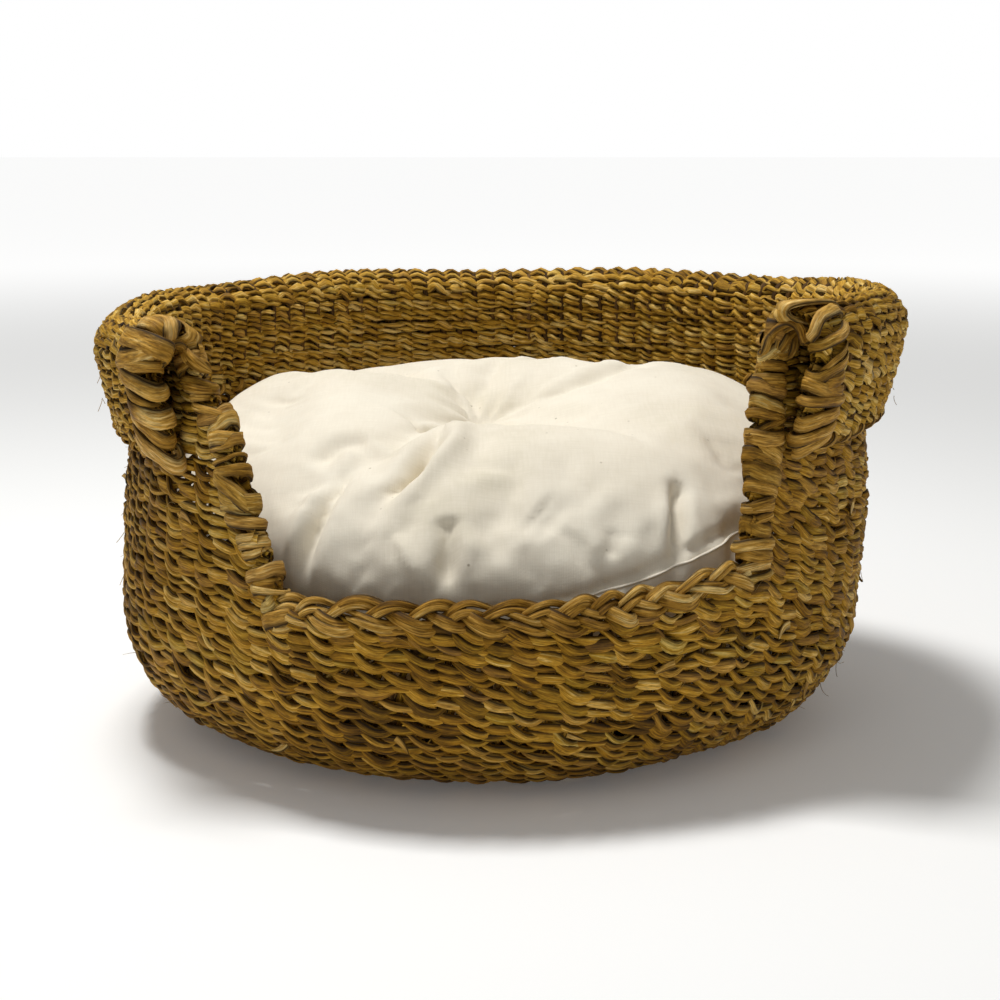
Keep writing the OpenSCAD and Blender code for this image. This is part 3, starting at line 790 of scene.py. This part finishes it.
def looseEnds():
    mesh = StrandMesh()
    random = np.random.default_rng(81)
    rise = np.array([0, 0, 1.0])
    for index in range(strays["fibres"] + strays["ends"]):
        isEnd = index >= strays["fibres"]
        angle = np.array([random.uniform(-math.pi, math.pi)])
        z = random.uniform(0.02, crestTop - 0.02)
        off = float(np.interp(z, [bellyTop, waistZ], [wallOff, waistOff])) + plan["rowHalf"]
        if z > waistZ:
            at = np.interp(z, [flapEnd[1], flapStart[1]], [0.95, 0.05])
            off = float(flapCurve(at)[0]) + plan["rowHalf"] + 0.0002
        if z < bellyStart:
            off = float(np.interp(z, *bottomCurve(np.linspace(0, 1, 30)).T[::-1])) + plan["rowHalf"]
        side = "right" if angle[0] > 0 else "left"
        if z > rimTop - 0.004 and abs(angle[0]) < abs(openingAngle(z, side)) + strays["clear"]:
            continue
        root = wallPoint(angle, np.array([off]), np.array([z]))[0]
        out = np.array([math.sin(angle[0]), -math.cos(angle[0]), 0])
        level = np.array([math.cos(angle[0]), math.sin(angle[0]), 0])
        length = random.uniform(*strays["endLong" if isEnd else "fibreLong"])
        heading = random.normal(-0.35, 0.22)
        way = level * math.cos(heading) * random.choice([-1, 1]) + rise * math.sin(heading)
        t = np.linspace(0, 1, 7)
        leave = (0.0022 if isEnd else random.uniform(0.001, 0.005)) * t ** 2
        centre = root + np.outer(t, way) * length + np.outer(leave, out) + np.outer(
            np.sin(t * 3) * random.normal(0, 0.0012), rise)
        width = strays["fibreWide"] * (1 - 0.7 * t)
        if isEnd:
            width = random.uniform(*strays["endWide"]) * (1 - t ** 2.2 * 0.85)
        mesh.sweep(centre, out, width, 0.0012 if isEnd else 0.0004, random.uniform(0.5, 1.1),
                   random.uniform(0, 0.6), sides=6 if isEnd else 3)
    return mesh.build("looseEnds")


finishPiece(looseEnds(), rushWrapped, "rush_weave")
print("basket finished")

# the cushion: a calico cover sewn from two panels, stuffed, and drawn in by a tuft at its middle
cushion = {
    "inset": 0.0265,       # from the belly's outline to the seam
    "shoulder": 0.080,     # how far in from the seam the crown begins
    "underIn": 0.095,      # the same under the seam
    "crownMean": 0.1975,
    "crownSlope": 0.0200,  # the crown is this much higher at the back, and lower at the front
    "crownLean": 0.003,    # and this much higher on the left
    "tuftAt": (-0.012, 0.005),
    "tuftDepth": 0.024,
    "tuftReach": 0.075,
    "seamZ": 0.104,
    "seamRise": 0.036,     # how far the seam climbs on the right
    "riseAt": 0.86,        # and where, in radians from the front
    "riseBreadth": 0.55,
    "voxel": 0.0055,
    "pressure": 4.0,
    "grow": -0.035,        # the cover is cut this much larger than its filling
    "frames": 18,
    "cap": 0.011,
    "wall": 0.0235,        # the cushion stays this far inside the belly's outline
}

# folds in millimetres from the oval's middle: points, depth, half breadth, and a ridge beside it
folds = [
    {"line": ((-20, -30, 172), (-36, -98, 178), (-48, -122, 174), (-62, -139, 163), (-70, -148, 154)),
     "depth": 12.0, "breadth": 5.5, "ridge": 0.5},
    {"line": ((-75, -81, 182), (-91, -86, 180), (-107, -103, 172)),
     "depth": 3.4, "breadth": 7.0, "ridge": 0.4},
    {"line": ((-26, -18, 172), (-45, -49, 180), (-90, -20, 187), (-150, 10, 190)),
     "depth": 3.6, "breadth": 3.4, "ridge": 0.3},
    {"line": ((-84, -108, 176), (-94, -132, 160), (-103, -146, 140), (-108, -150, 112)),
     "depth": 6.5, "breadth": 5.0, "ridge": -0.5},
    {"line": ((-26, 2, 171), (-40, 20, 180), (-69, 38, 191), (-95, 60, 198)),
     "depth": 6.0, "breadth": 3.4, "ridge": 0.4},
    {"line": ((-16, 8, 170), (-27, 42, 183), (-47, 69, 198)),
     "depth": 6.0, "breadth": 3.4, "ridge": 0.4},
    {"line": ((-8, 6, 169), (4, 28, 178), (20, 54, 192), (55, 72, 202)),
     "depth": 12.0, "breadth": 3.7, "ridge": -0.4},
    {"line": ((-2, 4, 170), (20, 18, 180), (52, 38, 193), (88, 50, 199), (125, 40, 196)),
     "depth": 15.0, "breadth": 4.0, "ridge": -0.4},
    {"line": ((-29, -156, 156), (-29, -166, 138), (-29, -172, 112)),
     "depth": 5.0, "breadth": 6.0, "ridge": 0.3},
    {"line": ((97, -122, 168), (95, -134, 156), (93, -150, 134), (92, -156, 118)),
     "depth": 6.5, "breadth": 4.5, "ridge": -0.4},
    {"line": ((60, -157, 148), (57, -164, 130)), "depth": 3.0, "breadth": 5.0, "ridge": 0.3},
    {"line": ((-57, -158, 146), (-49, -165, 134), (-40, -170, 120)),
     "depth": -2.4, "breadth": 3.5, "ridge": 0},
    {"line": ((18, -154, 160), (32, -158, 150)), "depth": 2.4, "breadth": 14.0, "ridge": 0},
    {"line": ((10, -20, 176), (48, -34, 185), (88, -80, 182), (120, -96, 170)),
     "depth": 2.6, "breadth": 12.0, "ridge": 0},
    {"line": ((-10, 60, 190), (-6, 110, 196)), "depth": 2.0, "breadth": 10.0, "ridge": 0},
    {"line": ((0, -8, 171), (6, -60, 180)), "depth": 2.2, "breadth": 8.0, "ridge": 0},
]


# heights and depths of everything else that breaks the cover's smoothness, in millimetres
wrinkles = {
    "fold": 1.35,         # multiplies the depths of the folds above
    "broad": 0.6,         # lumps of the filling
    "small": 0.28,
    "pucker": 0.55,       # where the seam gathers the cloth
    "spokes": 1.9,        # pleats that run out from the tuft
    "groove": 2.6,        # along the seam
    "knot": 6.0,          # under the tuft's thread
}


# how far a point lies outside the belly's outline, with the direction that leads outward
def offsetOf(x, y):
    y = y - plan["centreY"]
    onSide = np.abs(x) - arcShift > np.abs(y)
    fromX = np.where(onSide, x - np.sign(x) * arcShift, x)
    fromY = np.where(onSide, y, y + np.where(y < 0, -arcShift, arcShift))
    away = np.hypot(fromX, fromY)
    return away - np.where(onSide, sideRadius, frontRadius), fromX / away, fromY / away


def tuftDistance(points):
    return np.hypot(points[:, 0] - cushion["tuftAt"][0],
                    points[:, 1] - plan["centreY"] - cushion["tuftAt"][1])


def cushionForm():
    across, up = 160, 26
    angle = np.arange(across) / across * 2 * math.pi - math.pi
    rings = []
    turn = np.linspace(0, math.pi / 2, up)
    crown = (cushion["crownMean"] - cushion["crownSlope"] * np.cos(angle)
             - cushion["crownLean"] * np.sin(angle))
    low, seam = underZ + 0.002, cushion["seamZ"]
    for phi in turn[::-1]:
        off = -cushion["inset"] - cushion["underIn"] * (1 - math.cos(phi))
        rings.append((off, np.full(across, seam - (seam - low) * math.sin(phi))))
    for phi in turn[1:]:
        off = -cushion["inset"] - cushion["shoulder"] * (1 - math.cos(phi))
        rings.append((off, seam + (crown - seam) * math.sin(phi)))
    points = []
    for off, z in rings:
        x, y = planPoint(angle, off)
        points.append(np.stack([x, y, z], -1))
    inner = points[-1]
    centre = np.array([0, plan["centreY"], cushion["crownMean"] + 0.002])
    for share in (0.8, 0.6, 0.42, 0.26, 0.12):
        points.append(centre + (inner - centre) * share)
    points = np.concatenate(points)
    dimple = tuftDistance(points)
    sink = cushion["tuftDepth"] * np.exp(-(dimple / cushion["tuftReach"]) ** 2)
    points[:, 2] -= np.where(points[:, 2] > cushion["seamZ"], sink, -0.25 * sink)
    count = len(points) // across
    faces = [(r * across + k, r * across + (k + 1) % across,
              (r + 1) * across + (k + 1) % across, (r + 1) * across + k)
             for r in range(count - 1) for k in range(across)]
    faces.append(tuple(range(across))[::-1])
    faces.append(tuple(range((count - 1) * across, count * across)))
    mesh = bpy.data.meshes.new("cushionForm")
    mesh.from_pydata(points.tolist(), [], faces)
    mesh.update()
    form = bpy.data.objects.new("cushionForm", mesh)
    bpy.context.scene.collection.objects.link(form)
    return form


def bakeModifiers(piece):
    made = bpy.data.meshes.new_from_object(piece.evaluated_get(bpy.context.evaluated_depsgraph_get()))
    piece.modifiers.clear()
    piece.data = made


def coordinates(mesh):
    flat = np.empty(len(mesh.vertices) * 3)
    mesh.vertices.foreach_get("co", flat)
    return flat.reshape(-1, 3)


def setCoordinates(mesh, points):
    mesh.vertices.foreach_set("co", points.ravel())
    mesh.update()


def vertexNormals(mesh):
    flat = np.empty(len(mesh.vertices) * 3)
    mesh.vertices.foreach_get("normal", flat)
    return flat.reshape(-1, 3)


# how the filling swells the cover between the seam and the tuft
def swell(piece):
    before = coordinates(piece.data)
    tuft = tuftDistance(before) < 0.012
    seam = np.abs(before[:, 2] - cushion["seamZ"]) < 0.004
    group = piece.vertex_groups.new(name="sewn")
    group.add([int(v) for v in np.nonzero(tuft | seam)[0]], 1.0, "REPLACE")
    cloth = piece.modifiers.new("cloth", "CLOTH")
    cloth.settings.use_pressure = True
    cloth.settings.uniform_pressure_force = cushion["pressure"]
    cloth.settings.effector_weights.gravity = 0
    cloth.settings.vertex_group_mass = "sewn"
    cloth.settings.shrink_min = cushion["grow"]
    cloth.settings.quality = 6
    cloth.settings.mass = 0.3
    cloth.settings.tension_stiffness = 25
    cloth.settings.compression_stiffness = 25
    cloth.settings.bending_stiffness = 0.35
    scene = bpy.context.scene
    cloth.point_cache.frame_start = 1
    cloth.point_cache.frame_end = cushion["frames"]
    for frameNumber in range(1, cushion["frames"] + 1):
        scene.frame_set(frameNumber)
    bakeModifiers(piece)
    scene.frame_set(1)
    after = coordinates(piece.data)
    move = after - before
    size = np.linalg.norm(move, axis=1, keepdims=True)
    setCoordinates(piece.data, before + move * np.minimum(1, cushion["cap"] / (size + 1e-9)))
    piece.vertex_groups.clear()


# distance to a fold, how far along it the nearest place is, and on which side a point lies
def foldDistance(points, corners):
    lengths = np.linalg.norm(np.diff(corners, axis=0), axis=1)
    best = np.full(len(points), 1e9)
    share, side = np.zeros(len(points)), np.zeros(len(points))
    for index, length in enumerate(lengths):
        start, way = corners[index], (corners[index + 1] - corners[index]) / length
        along = np.clip((points - start) @ way, 0, length)
        gap = points - (start + along[:, None] * way)
        far = np.linalg.norm(gap, axis=1)
        nearer = far < best
        best = np.where(nearer, far, best)
        share = np.where(nearer, (lengths[:index].sum() + along) / lengths.sum(), share)
        side = np.where(nearer, np.sign(way[0] * gap[:, 1] - way[1] * gap[:, 0]), side)
    return best, share, side


def seamHeight(angle):
    away = (angle - cushion["riseAt"]) / cushion["riseBreadth"]
    return cushion["seamZ"] + cushion["seamRise"] * np.exp(-away ** 2)


def shapeCover(piece):
    mesh = piece.data
    points = coordinates(mesh)
    normals = vertexNormals(mesh)
    local = (points - np.array([0, plan["centreY"], 0])) * 1000
    push = np.zeros(len(points))
    for fold in folds:
        far, share, side = foldDistance(local, np.array(fold["line"], float))
        taper = smooth(share, -0.02, 0.12) * (1 - smooth(share, 0.62, 1.0)) + 0.12
        taper = taper * np.where(far < fold["breadth"] * 5, 1, 0)
        push -= wrinkles["fold"] * fold["depth"] * taper * np.exp(-(far / fold["breadth"]) ** 2)
        if fold["ridge"]:
            beside = np.exp(-((far - 1.9 * fold["breadth"]) / (1.1 * fold["breadth"])) ** 2)
            onSide = np.where(side * np.sign(fold["ridge"]) > 0, 1, 0.25)
            rise = abs(fold["ridge"]) * fold["depth"] * smooth(share, 0.1, 0.4)
            push += rise * taper * beside * onSide
    angle = np.arctan2(local[:, 0], -local[:, 1])
    x, y, z = local.T
    broad = np.sin(x / 31 + 1.1) * np.sin(y / 27 + z / 40 + 0.4) + 0.6 * np.sin(x / 17 - y / 23 + 2.0)
    small = np.sin(x / 6.5 + 2 * np.sin(y / 15)) * np.sin((y + z) / 8.0 + np.sin(x / 19))
    seamGap = z - seamHeight(angle) * 1000
    pucker = np.sin(angle * 70 + 2 * np.sin(angle * 9)) * np.exp(-np.abs(seamGap) / 9)
    tuft = np.hypot(x / 1000 - cushion["tuftAt"][0], y / 1000 - cushion["tuftAt"][1]) * 1000
    spokes = np.sin(np.arctan2(y - 5, x + 12) * 9 + 0.7 * np.sin(tuft / 9))
    spokes = spokes * np.exp(-(tuft / 34) ** 2) * smooth(tuft, 2, 9)
    push += (broad * wrinkles["broad"] + small * wrinkles["small"] + pucker * wrinkles["pucker"]
             + spokes * wrinkles["spokes"])
    push -= wrinkles["groove"] * np.exp(-(seamGap / 3.0) ** 2)
    push -= wrinkles["knot"] * np.exp(-(tuft / 8) ** 2) * (z > 100)
    points = points + normals * (push / 1000)[:, None]
    off, outX, outY = offsetOf(points[:, 0], points[:, 1])
    over = np.maximum(off + cushion["wall"], 0)
    points[:, 0] -= over * outX
    points[:, 1] -= over * outY
    points[:, 2] = np.maximum(points[:, 2], underZ)
    setCoordinates(mesh, points)


def makeCushion():
    piece = cushionForm()
    remesh = piece.modifiers.new("remesh", "REMESH")
    remesh.mode = "VOXEL"
    remesh.voxel_size = cushion["voxel"]
    bakeModifiers(piece)
    smoother = piece.modifiers.new("smooth", "SMOOTH")
    smoother.factor = 0.5
    smoother.iterations = 4
    bakeModifiers(piece)
    swell(piece)
    divide = piece.modifiers.new("divide", "SUBSURF")
    divide.levels = 1
    divide.render_levels = 1
    bakeModifiers(piece)
    shapeCover(piece)
    piece.name = "cushionCover"
    piece.data.name = "cushionCover"
    piece.data.materials.clear()
    piece.data.shade_smooth()
    print("cushionCover", len(piece.data.polygons) * 2, "triangles")
    return piece


# unbleached calico, plain woven: a dull creamy cotton with slubs in both thread directions and
# dark flecks of seed husk; threads about 0.5 mm apart are drawn 0.9 mm apart so that they show
def calicoMaterial(name, stops):
    material, tree, shader = newMaterial(name)
    place = add(tree, "ShaderNodeTexCoord").outputs["Object"]
    parts = add(tree, "ShaderNodeSeparateXYZ", inputs={"Vector": place}).outputs
    weft = add(tree, "ShaderNodeMath", {"operation": "ADD"}, {0: parts["Y"], 1: parts["Z"]})
    threads = add(tree, "ShaderNodeCombineXYZ", inputs={"X": parts["X"], "Y": weft})
    waveA = add(tree, "ShaderNodeTexWave", {"bands_direction": "X"}, {
        "Vector": threads, "Scale": 350.0, "Distortion": 1.5, "Detail": 2.0})
    waveB = add(tree, "ShaderNodeTexWave", {"bands_direction": "Y"}, {
        "Vector": threads, "Scale": 350.0, "Distortion": 1.5, "Detail": 2.0})
    grid = add(tree, "ShaderNodeMath", {"operation": "MULTIPLY"}, {
        0: waveA.outputs["Fac"], 1: waveB.outputs["Fac"]})
    slubA = add(tree, "ShaderNodeTexNoise", inputs={
        "Vector": add(tree, "ShaderNodeMapping", inputs={"Vector": threads, "Scale": (700, 60, 1)}),
        "Scale": 1.0, "Detail": 2.0})
    slubB = add(tree, "ShaderNodeTexNoise", inputs={
        "Vector": add(tree, "ShaderNodeMapping", inputs={"Vector": threads, "Scale": (60, 700, 1)}),
        "Scale": 1.0, "Detail": 2.0})
    slubs = add(tree, "ShaderNodeMath", {"operation": "MULTIPLY"}, {0: slubA, 1: slubB})
    cloud = add(tree, "ShaderNodeTexNoise", inputs={"Vector": place, "Scale": 14.0, "Detail": 4.0})
    shade = add(tree, "ShaderNodeMath", {"operation": "MULTIPLY_ADD"}, {0: slubs, 1: 0.5, 2: cloud})
    base = add(tree, "ShaderNodeValToRGB", inputs={"Fac": shade}, stops=stops)
    fleckNoise = add(tree, "ShaderNodeTexVoronoi", inputs={
        "Vector": place, "Scale": 130.0, "Randomness": 1.0})
    rare = add(tree, "ShaderNodeTexNoise", inputs={"Vector": place, "Scale": 90.0, "Detail": 1.0})
    near = add(tree, "ShaderNodeMapRange", inputs={
        "Value": fleckNoise.outputs["Distance"],
        "From Min": 0.05, "From Max": 0.13, "To Min": 1.0, "To Max": 0.0})
    chosen = add(tree, "ShaderNodeMapRange", inputs={
        "Value": rare, "From Min": 0.60, "From Max": 0.68, "To Min": 0.0, "To Max": 0.6})
    fleck = add(tree, "ShaderNodeMath", {"operation": "MULTIPLY"}, {0: near, 1: chosen})
    final = add(tree, "ShaderNodeMix", {"data_type": "RGBA"}, {
        "Factor": fleck, "A": base, "B": colour("#7d6a4c")})
    tree.links.new(final.outputs["Result"], shader.inputs["Base Color"])
    shader.inputs["Roughness"].default_value = 0.88
    shader.inputs["Specular IOR Level"].default_value = 0.25
    shader.inputs["Sheen Weight"].default_value = 0.12
    shader.inputs["Sheen Roughness"].default_value = 0.5
    height = add(tree, "ShaderNodeMath", {"operation": "MULTIPLY_ADD"}, {0: slubs, 1: 1.6, 2: grid})
    bump = add(tree, "ShaderNodeBump", inputs={"Strength": 0.22, "Distance": 0.0003, "Height": height})
    tree.links.new(bump.outputs["Normal"], shader.inputs["Normal"])
    return material


calico = calicoMaterial("calicoWoven", [
    (0.3, "#d8cfb8"), (0.95, "#f2ebd9"), (0.6, "#e7decb")])
cover = finishPiece(makeCushion(), calico, "calico", "cushion_top_panel", "cushion_bottom_panel",
                    "cushion_filling", body="cushion")


def coverSurface():
    faces = [tuple(p.vertices) for p in cover.data.polygons]
    return BVHTree.FromPolygons(coordinates(cover.data).tolist(), faces)


# the sewn edge between the two panels, laid on the cover, and the knot that holds the tuft
seamCord = {"steps": 560, "wide": 0.0016, "uneven": 0.0004, "thick": 0.0020, "proud": 0.0002}
knot = {"turns": (0.4, 1.9, 2.7), "reach": 0.006, "thread": 0.0012, "arch": 0.0006}


def cushionSeam():
    surface = coverSurface()
    angle = np.linspace(-math.pi, math.pi, seamCord["steps"], endpoint=False)
    x, y = planPoint(angle, 0.03)
    z = seamHeight(angle)
    points = []
    for start in np.stack([x, y, z], -1):
        aim = np.array([0, plan["centreY"], start[2]]) - start
        hit = surface.ray_cast(Vector(start), Vector(aim / np.linalg.norm(aim)))[0]
        points.append(hit if hit else start)
    centre = np.array([list(p) for p in points])
    centre = (centre + np.roll(centre, 1, 0) + np.roll(centre, -1, 0)) / 3
    radial = np.stack([np.sin(angle), -np.cos(angle), np.zeros_like(angle)], -1)
    centre = centre + radial * seamCord["proud"]
    mesh = StrandMesh()
    wide = seamCord["wide"] + seamCord["uneven"] * np.sin(angle * 70)
    mesh.sweep(centre, radial, wide, seamCord["thick"], 0.5, 0.5, sides=6, closed=True)
    return mesh.build("cushionSeam")


def tuftKnot():
    surface = coverSurface()
    mesh = StrandMesh()
    t = np.linspace(-1, 1, 13)
    for turn in knot["turns"]:
        x = cushion["tuftAt"][0] + t * knot["reach"] * math.cos(turn)
        y = plan["centreY"] + cushion["tuftAt"][1] + t * knot["reach"] * math.sin(turn)
        top = [surface.ray_cast(Vector((a, b, 0.3)), Vector((0, 0, -1)))[0].z for a, b in zip(x, y)]
        centre = np.stack([x, y, np.array(top) + knot["arch"] * (1 - t ** 2)], -1)
        mesh.sweep(centre, np.array([0, 0, 1.0]), knot["thread"], knot["thread"], 0.5, 0.5, sides=6)
    return mesh.build("tuftKnot")


finishPiece(cushionSeam(), calico, "calico", "cushion_seam", body="cushion")
finishPiece(tuftKnot(), calico, "calico", "cushion_tuft_tie", body="cushion")
print("cushion finished")

# camera, floor and light
view = {
    "place": (-0.0013, -1.0109, 0.347),
    "aim": (-0.0013, -0.0069, 0.1285),
    "lens": 59.92,
    "sensor": 36,
}
cameraData = bpy.data.cameras.new("camera")
cameraData.lens = view["lens"]
cameraData.sensor_width = view["sensor"]
camera = bpy.data.objects.new("camera", cameraData)
camera.location = view["place"]
camera.rotation_euler = (Vector(view["aim"]) - Vector(view["place"])).to_track_quat("-Z", "Y").to_euler()
bpy.context.scene.collection.objects.link(camera)
bpy.context.scene.camera = camera

studio = {
    "floor": "#f7f7f5",
    "half": 30,            # half the floor's side, in metres
    "drop": 0.0006,        # how far the floor lies under the basket
    "glow": (0.06, 0.68),  # near the basket, and far from it
    "fade": (0.7, 4.0),    # where the first glow ends and the second begins
    "sky": 0.30,           # the sky's strength as light
    "backdrop": 1.0,       # and as the ground behind the basket
}
floorData = bpy.data.meshes.new("floor")
half = studio["half"]
floorCorners = [(-half, -half, 0), (half, -half, 0), (half, half, 0), (-half, half, 0)]
floorData.from_pydata(floorCorners, [], [(0, 1, 2, 3)])
floor = bpy.data.objects.new("floor", floorData)
floor.location.z = -studio["drop"]
bpy.context.scene.collection.objects.link(floor)
# matt white paper: an even pale ground with no shine
floorPaint, floorTree, floorShader = newMaterial("paperFloor")
floorShader.inputs["Base Color"].default_value = colour(studio["floor"])
floorShader.inputs["Roughness"].default_value = 0.95
floorShader.inputs["Emission Color"].default_value = (1, 1, 1, 1)
# it glows more the further out it lies, so that it has no visible edge
fromMiddle = add(floorTree, "ShaderNodeVectorMath", {"operation": "LENGTH"}, {
    0: add(floorTree, "ShaderNodeTexCoord").outputs["Object"]})
glow = add(floorTree, "ShaderNodeMapRange", {"interpolation_type": "SMOOTHSTEP"}, {
    "Value": fromMiddle.outputs["Value"], "From Min": studio["fade"][0], "From Max": studio["fade"][1],
    "To Min": studio["glow"][0], "To Max": studio["glow"][1]})
floorTree.links.new(glow.outputs[0], floorShader.inputs["Emission Strength"])
floorData.materials.append(floorPaint)

world = bpy.data.worlds.new("studio")
bpy.context.scene.world = world
world.use_nodes = True
# the sky lights the basket softly, and shows as plain white behind it
sky = world.node_tree.nodes["Background"]
sky.inputs["Color"].default_value = (1, 1, 1, 1)
seen = add(world.node_tree, "ShaderNodeLightPath").outputs["Is Camera Ray"]
strength = add(world.node_tree, "ShaderNodeMapRange", inputs={
    "Value": seen, "To Min": studio["sky"], "To Max": studio["backdrop"]})
world.node_tree.links.new(strength.outputs[0], sky.inputs["Strength"])


def softLight(name, place, aim, size, power):
    data = bpy.data.lights.new(name, "AREA")
    data.size = size
    data.energy = power
    lamp = bpy.data.objects.new(name, data)
    lamp.location = place
    lamp.rotation_euler = (Vector(aim) - Vector(place)).to_track_quat("-Z", "Y").to_euler()
    bpy.context.scene.collection.objects.link(lamp)


softLight("keyLight", (-0.4, 0.12, 1.95), (0, 0, 0.1), 0.45, 31.5)
softLight("frontLight", (-0.5, -1.3, 1.5), (0, 0, 0.1), 0.7, 1.0)
bpy.context.scene.view_settings.view_transform = "Standard"
